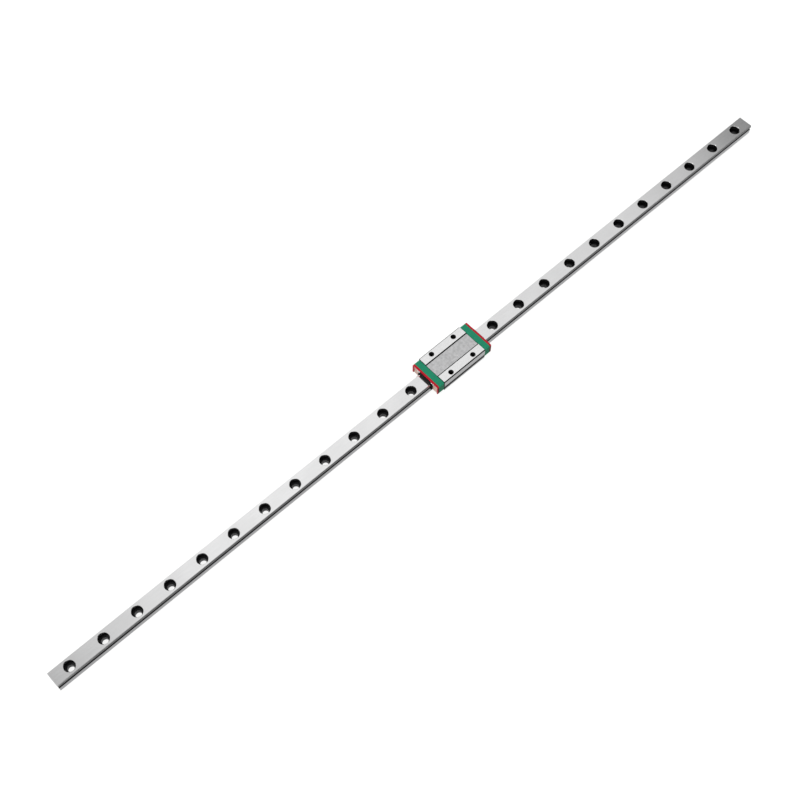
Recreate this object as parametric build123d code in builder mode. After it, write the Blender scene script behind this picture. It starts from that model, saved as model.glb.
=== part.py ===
from build123d import *
import math
import os

# Miniature linear guide: a 9 mm profile rail, 500 mm long, and one long carriage that runs along it on
# two loops of recirculating balls.
#
# Millimetres. +X runs along the rail, +Y across it, +Z up. The origin is the middle of the rail's
# mounting face. "Front" is the carriage's -X end, "rear" its +X end, "left" is +Y and "right" is -Y.

# ---- Rail ----
RAIL_LENGTH = 500.0
RAIL_WIDTH = 9.0
RAIL_HEIGHT = 6.5
RAIL_HOLES = 25
RAIL_PITCH = 20.0
BOLT_HOLE_R = 1.75
COUNTERBORE_R = 3.0
COUNTERBORE_DEPTH = 3.5
RAIL_EDGE = 0.2
RAIL_TOP_EDGE = 0.4
RAIL_END_EDGE = 0.3
HOLE_EDGE = 0.12
RELIEF_Y = 3.4
RELIEF_HALF = 0.3

# ---- Balls and their loop ----
BALL_R = 0.794
BALLS_PER_SIDE = 39
BALL_GAP = 0.02
RACE_R = 0.86
TRACK_Y = 4.69
TRACK_Z = 4.1
RETURN_Y = 7.3
TUNNEL_R = 0.875
CHANNEL_R = 0.86
TURN_R = (RETURN_Y - TRACK_Y) / 2
TURN_Y = (RETURN_Y + TRACK_Y) / 2
ARCH_OFFSET = (RACE_R - BALL_R - BALL_GAP) * math.sqrt(0.5)
CONTACT = (BALL_R + BALL_GAP) * math.sqrt(0.5)

# ---- Carriage as a whole ----
CARRIAGE_X = 9.75
CARRIAGE_LENGTH = 39.9
CARRIAGE_HEIGHT = 10.0
CARRIAGE_WIDTH = 20.0
GROUND_CLEARANCE = 2.0

# ---- Steel block ----
BLOCK_LENGTH = 29.9
BLOCK_WALL_Y = 4.85
BLOCK_CEILING = 6.8
BLOCK_CORNER = 0.3
WAIST_DEPTH = 0.25
WAIST_TOP_Z = 5.5
WAIST_BOTTOM_Z = 3.8
TOP_EDGE = 0.5
FOOT_EDGE = 0.4
LAND_INNER_Y = 4.85
LAND_STEP = 0.4
RELIEF_GROOVE_WIDTH = 0.6
RELIEF_GROOVE_DEPTH = 1.0
MOUNT_SPACING_X = 16.0
MOUNT_SPACING_Y = 15.0
MOUNT_HOLE_R = 1.25
MOUNT_HOLE_DEPTH = 3.5
MOUNT_HOLE_EDGE = 0.25

# ---- End caps, seals and their screws ----
CAP_LENGTH = 3.6
CAP_HALF_WIDTH = 9.7
CAP_TOP = 9.6
CAP_BOTTOM = 2.2
CAP_ROUND = 0.6
CAP_CUT = 0.9
CAP_CEILING = 6.7
SCOOP_Y = 4.2
SCOOP_HALF = 0.35
SCOOP_BASE_HALF = 0.65
PLATE_WEB = 0.45
PLATE_RIM = 0.6
PLATE_LENGTH = 1.1
WINDOW_Y = 5.3
WINDOW_Z = 6.3
WINDOW_SHOULDER_Y = 4.85
WINDOW_NECK_Y = 3.9
WINDOW_NECK_Z = 6.8
WINDOW_TOP_Z = 9.25
PIN_HOLE_Y = 7.7
PIN_HOLE_Z = 8.3
PIN_HOLE_R = 0.4
PIN_HOLE_DEPTH = 1.0
WIPER_LENGTH = (CARRIAGE_LENGTH - BLOCK_LENGTH) / 2 - CAP_LENGTH
WIPER_GAP = 0.05
WIPER_RIDGE_Y = 4.15
SCREW_Y = 5.2
SCREW_Z = 7.95
SCREW_R = 0.7
SCREW_LENGTH = 8.0
SCREW_CLEAR_R = 0.85
SCREW_HOLE_DEPTH = 4.3
HEAD_R = 1.0
HEAD_HEIGHT = 0.6
HEAD_EDGE = 0.2
RECESS_SPAN = 1.2
RECESS_SLOT = 0.3
RECESS_DEPTH = 0.4
FIT = 0.02

# ---- Return guides and ball retainer wires ----
GUIDE_R = 1.1
GUIDE_HEIGHT = 2.6
WIRE_R = 0.175
WIRE_Y = TRACK_Y - BALL_R - WIRE_R - FIT
WIRE_BEND_X = 18.0
WIRE_BEND_R = 0.5
WIRE_END_Y = 6.0
WIRE_SLOT_HALF = 0.26

FACE_X = BLOCK_LENGTH / 2
ENDS = {"front": -1, "rear": 1}
SIDES = {"left": 1, "right": -1}

os.makedirs("parts", exist_ok=True)


def save(piece, name):
    """Labels a finished piece and writes it as its own STEP file."""
    piece.part.label = name
    export_step(piece.part, f"parts/{name}.step")


def cross_plane(end, from_centre):
    """A plane across the rail, from_centre away from the carriage's middle, facing out of that end."""
    return Plane(
        origin=(CARRIAGE_X + end * from_centre, 0, 0), x_dir=(0, 1, 0), z_dir=(end, 0, 0)
    )


def across(end, y, z):
    """A point (y, z) in the coordinates of cross_plane, whose second axis points down at the front."""
    return (y, end * z)


def race_reach(height):
    """How far a race reaches from the ball row's middle, at a height above or below that middle."""
    return math.sqrt(RACE_R**2 - (height + ARCH_OFFSET) ** 2) - ARCH_OFFSET


def race_half_height(depth):
    """Half the height of a race where it meets a wall that lies depth from the ball row's middle."""
    return math.sqrt(RACE_R**2 - (depth + ARCH_OFFSET) ** 2) - ARCH_OFFSET


# ---------------------------------------------------------------- rail
def make_rail():
    """Profile rail: pointed-arch races with a relief slot on both sides, and a row of counterbored holes."""
    half = RAIL_WIDTH / 2
    mouth = race_half_height(TRACK_Y - half)
    slot_mouth = TRACK_Y - race_reach(RELIEF_HALF)
    with BuildPart() as rail:
        with BuildSketch(Plane.YZ):
            with BuildLine():
                Polyline(
                    (0, 0),
                    (half - RAIL_EDGE, 0),
                    (half, RAIL_EDGE),
                    (half, TRACK_Z - mouth),
                )
                ThreePointArc(
                    (half, TRACK_Z - mouth),
                    (TRACK_Y - CONTACT, TRACK_Z - CONTACT),
                    (slot_mouth, TRACK_Z - RELIEF_HALF),
                )
                Polyline(
                    (slot_mouth, TRACK_Z - RELIEF_HALF),
                    (RELIEF_Y, TRACK_Z - RELIEF_HALF),
                    (RELIEF_Y, TRACK_Z + RELIEF_HALF),
                    (slot_mouth, TRACK_Z + RELIEF_HALF),
                )
                ThreePointArc(
                    (slot_mouth, TRACK_Z + RELIEF_HALF),
                    (TRACK_Y - CONTACT, TRACK_Z + CONTACT),
                    (half, TRACK_Z + mouth),
                )
                Polyline(
                    (half, TRACK_Z + mouth),
                    (half, RAIL_HEIGHT - RAIL_TOP_EDGE),
                    (half - RAIL_TOP_EDGE, RAIL_HEIGHT),
                    (0, RAIL_HEIGHT),
                )
                mirror(about=Plane.YZ)
            make_face()
        extrude(amount=RAIL_LENGTH / 2, both=True)
        with Locations((0, 0, RAIL_HEIGHT)):
            with GridLocations(RAIL_PITCH, RAIL_PITCH, RAIL_HOLES, 1):
                CounterBoreHole(BOLT_HOLE_R, COUNTERBORE_R, COUNTERBORE_DEPTH, RAIL_HEIGHT)
        top = rail.faces().sort_by(Axis.Z)[-1]
        chamfer(top.edges().filter_by(GeomType.CIRCLE), HOLE_EDGE)
        top = rail.faces().sort_by(Axis.Z)[-1]
        ends = top.edges().filter_by(Axis.Y)
        chamfer(ends, RAIL_END_EDGE)
    save(rail, "rail")


# ---------------------------------------------------------------- carriage block
def make_carriage_block():
    """Steel saddle: two races, two ball return tunnels, four tapped holes in two ground lands."""
    half = CARRIAGE_WIDTH / 2
    mouth = race_half_height(BLOCK_WALL_Y - TRACK_Y)
    apex = TRACK_Y + race_reach(0)
    with BuildPart() as block:
        with BuildSketch(cross_plane(1, -FACE_X)):
            with BuildLine():
                Polyline(
                    (0, BLOCK_CEILING),
                    (BLOCK_WALL_Y - BLOCK_CORNER, BLOCK_CEILING),
                    (BLOCK_WALL_Y, BLOCK_CEILING - BLOCK_CORNER),
                    (BLOCK_WALL_Y, TRACK_Z + mouth),
                )
                ThreePointArc(
                    (BLOCK_WALL_Y, TRACK_Z + mouth),
                    (TRACK_Y + CONTACT, TRACK_Z + CONTACT),
                    (apex, TRACK_Z),
                )
                ThreePointArc(
                    (apex, TRACK_Z),
                    (TRACK_Y + CONTACT, TRACK_Z - CONTACT),
                    (BLOCK_WALL_Y, TRACK_Z - mouth),
                )
                Polyline(
                    (BLOCK_WALL_Y, TRACK_Z - mouth),
                    (BLOCK_WALL_Y, GROUND_CLEARANCE + BLOCK_CORNER),
                    (BLOCK_WALL_Y + BLOCK_CORNER, GROUND_CLEARANCE),
                    (half - FOOT_EDGE, GROUND_CLEARANCE),
                    (half, GROUND_CLEARANCE + FOOT_EDGE),
                    (half, WAIST_BOTTOM_Z - WAIST_DEPTH),
                    (half - WAIST_DEPTH, WAIST_BOTTOM_Z),
                    (half - WAIST_DEPTH, WAIST_TOP_Z),
                    (half, WAIST_TOP_Z + WAIST_DEPTH),
                    (half, CARRIAGE_HEIGHT - TOP_EDGE),
                    (half - TOP_EDGE, CARRIAGE_HEIGHT),
                    (LAND_INNER_Y, CARRIAGE_HEIGHT),
                    (LAND_INNER_Y, CARRIAGE_HEIGHT - RELIEF_GROOVE_DEPTH),
                    (LAND_INNER_Y - RELIEF_GROOVE_WIDTH, CARRIAGE_HEIGHT - RELIEF_GROOVE_DEPTH),
                    (LAND_INNER_Y - RELIEF_GROOVE_WIDTH, CARRIAGE_HEIGHT - LAND_STEP),
                    (0, CARRIAGE_HEIGHT - LAND_STEP),
                )
                mirror(about=Plane.YZ)
            make_face()
        extrude(amount=BLOCK_LENGTH)
        with BuildSketch(cross_plane(1, -FACE_X)):
            with Locations((RETURN_Y, TRACK_Z), (-RETURN_Y, TRACK_Z)):
                Circle(TUNNEL_R)
        extrude(amount=BLOCK_LENGTH, mode=Mode.SUBTRACT)
        for end in ENDS.values():
            with BuildSketch(cross_plane(end, FACE_X)):
                with Locations(across(end, SCREW_Y, SCREW_Z), across(end, -SCREW_Y, SCREW_Z)):
                    Circle(SCREW_R + FIT)
            extrude(amount=-SCREW_HOLE_DEPTH, mode=Mode.SUBTRACT)
        with Locations((CARRIAGE_X, 0, CARRIAGE_HEIGHT)):
            with GridLocations(MOUNT_SPACING_X, MOUNT_SPACING_Y, 2, 2):
                Hole(MOUNT_HOLE_R, MOUNT_HOLE_DEPTH)
        rims = block.edges().filter_by(GeomType.CIRCLE).group_by(Axis.Z)[-1]
        chamfer(rims, MOUNT_HOLE_EDGE)
    save(block, "carriage_block")


# ---------------------------------------------------------------- end caps
def cap_outline():
    """Half of the outer outline that end caps and seal plates share, from the middle of the top down."""
    return [
        (0, CAP_TOP),
        (CAP_HALF_WIDTH - CAP_ROUND, CAP_TOP),
        (CAP_HALF_WIDTH, CAP_TOP - CAP_ROUND),
        (CAP_HALF_WIDTH, CAP_BOTTOM + CAP_CUT),
        (CAP_HALF_WIDTH - CAP_CUT, CAP_BOTTOM),
    ]


def make_end_cap(end, name):
    """Plastic cap that turns the balls round from the loaded race into the return tunnel."""
    inner = [
        (BLOCK_WALL_Y, CAP_BOTTOM),
        (BLOCK_WALL_Y, TRACK_Z - SCOOP_BASE_HALF),
        (SCOOP_Y, TRACK_Z - SCOOP_HALF),
        (SCOOP_Y, TRACK_Z + SCOOP_HALF),
        (BLOCK_WALL_Y, TRACK_Z + SCOOP_BASE_HALF),
        (BLOCK_WALL_Y, CAP_CEILING - BLOCK_CORNER),
        (BLOCK_WALL_Y - BLOCK_CORNER, CAP_CEILING),
        (0, CAP_CEILING),
    ]
    with BuildPart() as cap:
        with BuildSketch(cross_plane(end, FACE_X)):
            with BuildLine():
                Polyline(*[across(end, y, z) for y, z in cap_outline() + inner])
                mirror(about=Plane.YZ)
            make_face()
        extrude(amount=CAP_LENGTH)
        for side in SIDES.values():
            with Locations((CARRIAGE_X + end * FACE_X, side * TURN_Y, TRACK_Z)):
                Torus(TURN_R, CHANNEL_R, mode=Mode.SUBTRACT)
                Cylinder(GUIDE_R + FIT, GUIDE_HEIGHT + 2 * FIT, mode=Mode.SUBTRACT)
            slot_length = WIRE_END_Y + 2 * WIRE_R - SCOOP_Y
            slot_y = SCOOP_Y + slot_length / 2
            with Locations((CARRIAGE_X + end * WIRE_BEND_X, side * slot_y, TRACK_Z)):
                Box(2 * WIRE_SLOT_HALF, slot_length, 2 * WIRE_SLOT_HALF, mode=Mode.SUBTRACT)
        with BuildSketch(cross_plane(end, FACE_X)):
            with Locations(across(end, SCREW_Y, SCREW_Z), across(end, -SCREW_Y, SCREW_Z)):
                Circle(SCREW_CLEAR_R)
        extrude(amount=CAP_LENGTH, mode=Mode.SUBTRACT)
        with BuildSketch(cross_plane(end, FACE_X + CAP_LENGTH)):
            with Locations(across(end, PIN_HOLE_Y, PIN_HOLE_Z), across(end, -PIN_HOLE_Y, PIN_HOLE_Z)):
                Circle(PIN_HOLE_R)
        extrude(amount=-PIN_HOLE_DEPTH, mode=Mode.SUBTRACT)
    save(cap, name)


# ---------------------------------------------------------------- seal plates and wipers
def window_outline():
    """Half of the opening in a seal plate that the rubber wiper fills, from the bottom up to the middle."""
    return [
        (WINDOW_Y, CAP_BOTTOM),
        (WINDOW_Y, WINDOW_Z),
        (WINDOW_SHOULDER_Y, WINDOW_NECK_Z),
        (WINDOW_NECK_Y, WINDOW_NECK_Z),
        (WINDOW_NECK_Y, WINDOW_TOP_Z),
        (0, WINDOW_TOP_Z),
    ]


def make_seal_plate(end, name):
    """Thin plate with a raised rim that clamps the rubber wiper against the end cap."""
    out = FACE_X + CAP_LENGTH
    with BuildPart() as plate:
        with BuildSketch(cross_plane(end, out)):
            with BuildLine():
                Polyline(*[across(end, y, z) for y, z in cap_outline() + window_outline()])
                mirror(about=Plane.YZ)
            make_face()
        extrude(amount=PLATE_LENGTH)
        pocket = [
            (WINDOW_NECK_Y, CAP_TOP - PLATE_RIM),
            (CAP_HALF_WIDTH - PLATE_RIM, CAP_TOP - PLATE_RIM),
            (CAP_HALF_WIDTH - PLATE_RIM, CAP_BOTTOM),
            (WINDOW_Y, CAP_BOTTOM),
            (WINDOW_Y, WINDOW_Z),
            (WINDOW_SHOULDER_Y, WINDOW_NECK_Z),
            (WINDOW_NECK_Y, WINDOW_NECK_Z),
        ]
        with BuildSketch(cross_plane(end, out + PLATE_WEB)):
            with BuildLine():
                Polyline(*[across(end, y, z) for y, z in pocket], close=True)
            make_face()
            mirror(about=Plane.YZ)
        extrude(amount=PLATE_LENGTH, mode=Mode.SUBTRACT)
        with BuildSketch(cross_plane(end, out)):
            with Locations(across(end, SCREW_Y, SCREW_Z), across(end, -SCREW_Y, SCREW_Z)):
                Circle(SCREW_CLEAR_R)
            with Locations(across(end, PIN_HOLE_Y, PIN_HOLE_Z), across(end, -PIN_HOLE_Y, PIN_HOLE_Z)):
                Circle(PIN_HOLE_R)
        extrude(amount=PLATE_LENGTH, mode=Mode.SUBTRACT)
    save(plate, name)


def make_wiper(end, name):
    """Rubber lip that follows the rail's section and keeps dirt out of the races."""
    half = RAIL_WIDTH / 2 + WIPER_GAP
    lip = [
        (0, RAIL_HEIGHT + WIPER_GAP),
        (half - RAIL_TOP_EDGE, RAIL_HEIGHT + WIPER_GAP),
        (half, RAIL_HEIGHT + WIPER_GAP - RAIL_TOP_EDGE),
        (half, TRACK_Z + SCOOP_BASE_HALF),
        (WIPER_RIDGE_Y, TRACK_Z + SCOOP_HALF),
        (WIPER_RIDGE_Y, TRACK_Z - SCOOP_HALF),
        (half, TRACK_Z - SCOOP_BASE_HALF),
        (half, CAP_BOTTOM),
    ]
    with BuildPart() as wiper:
        with BuildSketch(cross_plane(end, FACE_X + CAP_LENGTH)):
            with BuildLine():
                Polyline(*[across(end, y, z) for y, z in lip + window_outline()])
                mirror(about=Plane.YZ)
            make_face()
        extrude(amount=WIPER_LENGTH)
    save(wiper, name)


# ---------------------------------------------------------------- screws
def make_cap_screw(end, side, name):
    """Pan head screw with a cross recess, through the seal plate and end cap into the block."""
    seat = FACE_X + CAP_LENGTH + PLATE_WEB
    centre = across(end, side * SCREW_Y, SCREW_Z)
    with BuildPart() as screw:
        with BuildSketch(cross_plane(end, seat)):
            with Locations(centre):
                Circle(HEAD_R)
        extrude(amount=HEAD_HEIGHT)
        outer_face = screw.faces().sort_by(Axis((0, 0, 0), (end, 0, 0)))[-1]
        fillet(outer_face.edges(), HEAD_EDGE)
        with BuildSketch(cross_plane(end, seat)):
            with Locations(centre):
                Circle(SCREW_R)
        extrude(amount=-SCREW_LENGTH)
        with BuildSketch(cross_plane(end, seat + HEAD_HEIGHT)):
            with Locations(centre):
                Rectangle(RECESS_SPAN, RECESS_SLOT)
                Rectangle(RECESS_SLOT, RECESS_SPAN)
        extrude(amount=-RECESS_DEPTH, mode=Mode.SUBTRACT)
    save(screw, name)


# ---------------------------------------------------------------- ball circuit
def make_return_guide(end, side, name):
    """Half spool inside the turn, so that the balls keep to the inner side of the bend."""
    x = CARRIAGE_X + end * FACE_X
    with BuildPart() as guide:
        with Locations((x, side * TURN_Y, TRACK_Z)):
            Cylinder(GUIDE_R, GUIDE_HEIGHT)
            Torus(TURN_R, CHANNEL_R, mode=Mode.SUBTRACT)
        keep = Keep.TOP if end > 0 else Keep.BOTTOM
        split(bisect_by=Plane.YZ.offset(x), keep=keep)
    save(guide, name)


def loop_point(travel):
    """Where a ball's centre is, from the carriage's middle, after this much travel round its loop."""
    straight = BLOCK_LENGTH
    turn = math.pi * TURN_R
    if travel < straight:
        return (travel - straight / 2, TRACK_Y)
    travel -= straight
    if travel < turn:
        angle = travel / TURN_R
        return (straight / 2 + TURN_R * math.sin(angle), TURN_Y - TURN_R * math.cos(angle))
    travel -= turn
    if travel < straight:
        return (straight / 2 - travel, RETURN_Y)
    angle = (travel - straight) / TURN_R
    return (-straight / 2 - TURN_R * math.sin(angle), TURN_Y + TURN_R * math.cos(angle))


def make_ball_train(side, name):
    """All the balls of one loop, as separate solids."""
    loop_length = 2 * BLOCK_LENGTH + 2 * math.pi * TURN_R
    centres = []
    for ball in range(BALLS_PER_SIDE):
        x, y = loop_point(ball * loop_length / BALLS_PER_SIDE)
        centres.append((CARRIAGE_X + x, side * y, TRACK_Z))
    with BuildPart() as train:
        with Locations(*centres):
            Sphere(BALL_R)
    save(train, name)


def make_retainer_wire(side, name):
    """Spring wire that holds the balls in the block when the carriage is off its rail."""
    with BuildPart() as wire:
        with BuildLine() as path:
            FilletPolyline(
                (CARRIAGE_X - WIRE_BEND_X, side * WIRE_END_Y, TRACK_Z),
                (CARRIAGE_X - WIRE_BEND_X, side * WIRE_Y, TRACK_Z),
                (CARRIAGE_X + WIRE_BEND_X, side * WIRE_Y, TRACK_Z),
                (CARRIAGE_X + WIRE_BEND_X, side * WIRE_END_Y, TRACK_Z),
                radius=WIRE_BEND_R,
            )
        with BuildSketch(Plane(origin=path.line @ 0, z_dir=path.line % 0)):
            Circle(WIRE_R)
        sweep(path=path.line)
    save(wire, name)


make_rail()
make_carriage_block()
for end_name, end in ENDS.items():
    make_end_cap(end, f"end_cap_{end_name}")
    make_seal_plate(end, f"seal_plate_{end_name}")
    make_wiper(end, f"wiper_{end_name}")
    for side_name, side in SIDES.items():
        make_cap_screw(end, side, f"cap_screw_{end_name}_{side_name}")
        make_return_guide(end, side, f"return_guide_{end_name}_{side_name}")
for side_name, side in SIDES.items():
    make_ball_train(side, f"ball_train_{side_name}")
    make_retainer_wire(side, f"retainer_wire_{side_name}")
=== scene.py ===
import math

import bmesh
import bpy
from mathutils import Matrix, Vector


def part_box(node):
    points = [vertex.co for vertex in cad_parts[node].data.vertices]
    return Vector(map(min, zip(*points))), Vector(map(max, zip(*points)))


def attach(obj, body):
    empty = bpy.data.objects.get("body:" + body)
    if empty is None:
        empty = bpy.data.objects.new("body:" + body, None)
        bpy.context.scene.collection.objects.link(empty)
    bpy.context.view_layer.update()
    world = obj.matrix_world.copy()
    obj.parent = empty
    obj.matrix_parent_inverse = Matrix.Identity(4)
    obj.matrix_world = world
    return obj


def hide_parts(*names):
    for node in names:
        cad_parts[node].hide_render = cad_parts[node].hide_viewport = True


# Looks of a miniature linear guide: a ground steel rail and a long ball carriage on it.
# Helper sizes are in millimetres in the CAD row's frame, and become metres when a mesh is made.

MM = 0.001
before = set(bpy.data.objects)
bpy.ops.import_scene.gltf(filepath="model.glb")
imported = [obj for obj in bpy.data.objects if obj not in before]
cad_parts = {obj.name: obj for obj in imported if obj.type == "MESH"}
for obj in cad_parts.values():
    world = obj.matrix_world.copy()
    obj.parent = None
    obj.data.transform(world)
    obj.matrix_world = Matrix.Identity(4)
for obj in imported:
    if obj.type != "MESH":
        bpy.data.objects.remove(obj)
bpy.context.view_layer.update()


def low(node):
    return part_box(node)[0]


def high(node):
    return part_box(node)[1]


# ---- Sizes read from the frame ----
RAIL_HALF_LENGTH = high("rail")[0] / MM
RAIL_HALF_WIDTH = high("rail")[1] / MM
RAIL_HEIGHT = high("rail")[2] / MM
BLOCK_FRONT = low("carriage_block")[0] / MM
BLOCK_REAR = high("carriage_block")[0] / MM
CARRIAGE_X = (BLOCK_FRONT + BLOCK_REAR) / 2
BLOCK_HALF_WIDTH = high("carriage_block")[1] / MM
BLOCK_TOP = high("carriage_block")[2] / MM
BLOCK_BOTTOM = low("carriage_block")[2] / MM
CAP_HALF_WIDTH = high("end_cap_front")[1] / MM
CAP_TOP = high("end_cap_front")[2] / MM
CAP_BOTTOM = low("end_cap_front")[2] / MM
CAP_LENGTH = (high("end_cap_rear")[0] - low("end_cap_rear")[0]) / MM
PLATE_LENGTH = (high("seal_plate_rear")[0] - low("seal_plate_rear")[0]) / MM
WIPER_LENGTH = (high("wiper_rear")[0] - low("wiper_rear")[0]) / MM
TRACK_Z = (low("ball_train_left")[2] + high("ball_train_left")[2]) / 2 / MM
BALL_R = (high("ball_train_left")[2] - low("ball_train_left")[2]) / 2 / MM
WIRE_R = (high("retainer_wire_left")[2] - low("retainer_wire_left")[2]) / 2 / MM
BLOCK_LENGTH = BLOCK_REAR - BLOCK_FRONT
FACE_X = BLOCK_LENGTH / 2

# ---- Sizes that a box can't give, the same as in the CAD ----
HOLES = 25
PITCH = 20.0
BOLT_R = 1.75
BORE_R = 3.0
BORE_FLOOR = 3.0
HOLE_EDGE = 0.12
EDGE = 0.2
RAIL_TOP_EDGE = 0.4
RACE_R = 0.86
RACE_OFFSET = 0.0325
TRACK_Y = 4.69
RELIEF_Y = 3.4
RELIEF_HALF = 0.3
RETURN_Y = 7.3
TUNNEL_R = 0.875
WALL_Y = 4.85
CEILING = 6.8
CORNER = 0.3
WAIST_DEPTH = 0.25
WAIST_TOP = 5.5
WAIST_BOTTOM = 3.8
TOP_EDGE = 0.5
FOOT_EDGE = 0.4
LAND_Y = 4.85
LAND_STEP = 0.4
GROOVE_WIDTH = 0.6
GROOVE_DEPTH = 1.0
MOUNT_X = 8.0
MOUNT_Y = 7.5
MOUNT_R = 1.25
MOUNT_DEPTH = 3.5
CAP_ROUND = 0.6
CAP_CUT = 0.9
CAP_CEILING = 6.7
SCOOP_Y = 4.2
SCOOP_HALF = 0.35
SCOOP_BASE_HALF = 0.65
SCREW_Y = 5.2
SCREW_Z = 7.95
SCREW_R = 0.7
SCREW_LENGTH = 8.0
SCREW_CLEAR_R = 0.85
HEAD_R = 1.0
HEAD_HEIGHT = 0.6
RECESS_ARM = 0.6
RECESS_DEPTH = 0.4
FIT = 0.02
PLATE_WEB = 0.45
PLATE_RIM = 0.6
NECK_Y = 3.9
NECK_Z = 6.8
SHOULDER_Y = 4.85
WINDOW_Y = 5.3
WINDOW_Z = 6.3
WINDOW_TOP = 9.25
LIP_GAP = 0.05
RIDGE_Y = 4.15
PIN_Y = 7.7
PIN_Z = 8.3
PIN_R = 0.4
PIN_DEPTH = 1.0
WIRE_Y = 3.701
WIRE_BEND_X = 18.0
WIRE_BEND_R = 0.5
WIRE_END_Y = 6.0
BALLS = 39

# ---- Sizes that only the visual model has ----
END_EDGE = 0.22
RAIL_END_EDGE = 0.15
RAIL_END_INSET = 0.12
SOFT_EDGE = 0.07
CAP_EDGE = 0.15
PLATE_EDGE = 0.1
PLATE_CUT = 4.0
THREAD_WALL = 0.25
THREAD_PITCH = 0.5
THREAD_DEPTH = 0.2
THREAD_TURNS = 6
THREAD_TOP = 0.28
THREAD_SKIN = 0.001
SCREW_HOLE_DEPTH = 4.0
SCREW_TIP = 0.15
SCREW_THREADS = 18
SCREW_PITCH = 0.35
SCREW_THREAD_DEPTH = 0.14
SCREW_CROWN = 0.36
HEAD_EDGE = 0.04
RECESS_SLOT = 0.16
WINDOW_GAP = 0.003
POCKET_REACH = 0.2

# How far outside a face its cutter starts.
OVER = 1.0

ENDS = {"front": -1, "rear": 1}
SIDES = {"left": 1, "right": -1}


# ------------------------------------------------------------------ materials
def new_material(name):
    mat = bpy.data.materials.new(name)
    mat.use_nodes = True
    tree = mat.node_tree
    return mat, tree, tree.nodes["Principled BSDF"]


def add(tree, kind, **settings):
    node = tree.nodes.new(kind)
    for key, value in settings.items():
        setattr(node, key, value)
    return node


def mapped(tree, scale, kind="ShaderNodeTexNoise", size=1.0, detail=4.0, rough=0.5):
    """A texture in the piece's own coordinates, whose features are about 1 / scale metres along each axis."""
    where = add(tree, "ShaderNodeTexCoord")
    stretch = add(tree, "ShaderNodeMapping")
    stretch.inputs["Scale"].default_value = scale
    tree.links.new(where.outputs["Object"], stretch.inputs["Vector"])
    texture = add(tree, kind)
    texture.inputs["Scale"].default_value = size
    texture.inputs["Detail"].default_value = detail
    texture.inputs["Roughness"].default_value = rough
    tree.links.new(stretch.outputs["Vector"], texture.inputs["Vector"])
    return texture.outputs["Fac"]


def ramp(tree, source, stops):
    node = add(tree, "ShaderNodeValToRGB")
    tree.links.new(source, node.inputs["Fac"])
    elements = node.color_ramp.elements
    while len(elements) < len(stops):
        elements.new(0.5)
    for element, (place, colour) in zip(elements, stops):
        element.position = place
        element.color = (*colour, 1.0)
    return node.outputs["Color"]
def grey_ramp(tree, source, stops):
    return ramp(tree, source, [(place, [value] * 3) for place, value in stops])


# A noise texture's values mostly lie between these two.
NOISE_LOW = 0.3
NOISE_HIGH = 0.7


def spread(tree, source, middle, share=0.15):
    """A number that follows a noise texture, up to a share under and over its middle value."""
    node = add(tree, "ShaderNodeMapRange")
    node.inputs["From Min"].default_value = NOISE_LOW
    node.inputs["From Max"].default_value = NOISE_HIGH
    node.inputs["To Min"].default_value = middle * (1 - share)
    node.inputs["To Max"].default_value = middle * (1 + share)
    tree.links.new(source, node.inputs["Value"])
    return node.outputs["Result"]


def two_tone(tree, source, colour, contrast):
    """A colour that follows a noise texture, from a little darker to a little brighter than the one given."""
    dark = [c * (1 - contrast) for c in colour]
    bright = [min(1.0, c * (1 + contrast)) for c in colour]
    return ramp(tree, source, [(NOISE_LOW, dark), (NOISE_HIGH, bright)])


def mixed(tree, a, b, how, factor=1.0):
    node = add(tree, "ShaderNodeMix", data_type="RGBA", blend_type=how)
    node.inputs["Factor"].default_value = factor
    tree.links.new(a, node.inputs["A"])
    tree.links.new(b, node.inputs["B"])
    return node.outputs["Result"]


def bump(tree, shader, source, depth, strength=0.5):
    node = add(tree, "ShaderNodeBump")
    node.inputs["Strength"].default_value = strength
    node.inputs["Distance"].default_value = depth
    tree.links.new(source, node.inputs["Height"])
    tree.links.new(node.outputs["Normal"], shader.inputs["Normal"])


def steel(name, colour, roughness, grain, contrast=0.06, patch=0.05, depth=0.000004, cloud=60):
    """Ground or machined steel: long grinding lines, cloudy patches, and roughness that follows the lines."""
    mat, tree, shader = new_material(name)
    lines = mapped(tree, grain, detail=6.0, rough=0.6)
    clouds = mapped(tree, (cloud, cloud, cloud), detail=3.0)
    streaks = two_tone(tree, lines, colour, contrast)
    haze = grey_ramp(tree, clouds, [(0.35, 1 - patch), (0.65, 1.0)])
    tree.links.new(mixed(tree, streaks, haze, "MULTIPLY"), shader.inputs["Base Color"])
    tree.links.new(spread(tree, lines, roughness), shader.inputs["Roughness"])
    shader.inputs["Metallic"].default_value = 1.0
    bump(tree, shader, lines, depth)
    return mat


def plastic(name, colour, roughness, grain=4000, contrast=0.08, depth=0.00001, gloss=0.5):
    """Moulded plastic: a fine spark-eroded texture, with slow flow marks in the colour."""
    mat, tree, shader = new_material(name)
    fine = mapped(tree, (grain, grain, grain), detail=3.0)
    flow = mapped(tree, (150, 420, 420), detail=4.0, rough=0.6)
    tone = two_tone(tree, flow, colour, contrast)
    speck = grey_ramp(tree, fine, [(NOISE_LOW, 0.93), (NOISE_HIGH, 1.0)])
    tree.links.new(mixed(tree, tone, speck, "MULTIPLY"), shader.inputs["Base Color"])
    tree.links.new(spread(tree, fine, roughness), shader.inputs["Roughness"])
    shader.inputs["Specular IOR Level"].default_value = gloss
    bump(tree, shader, fine, depth)
    return mat


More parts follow.
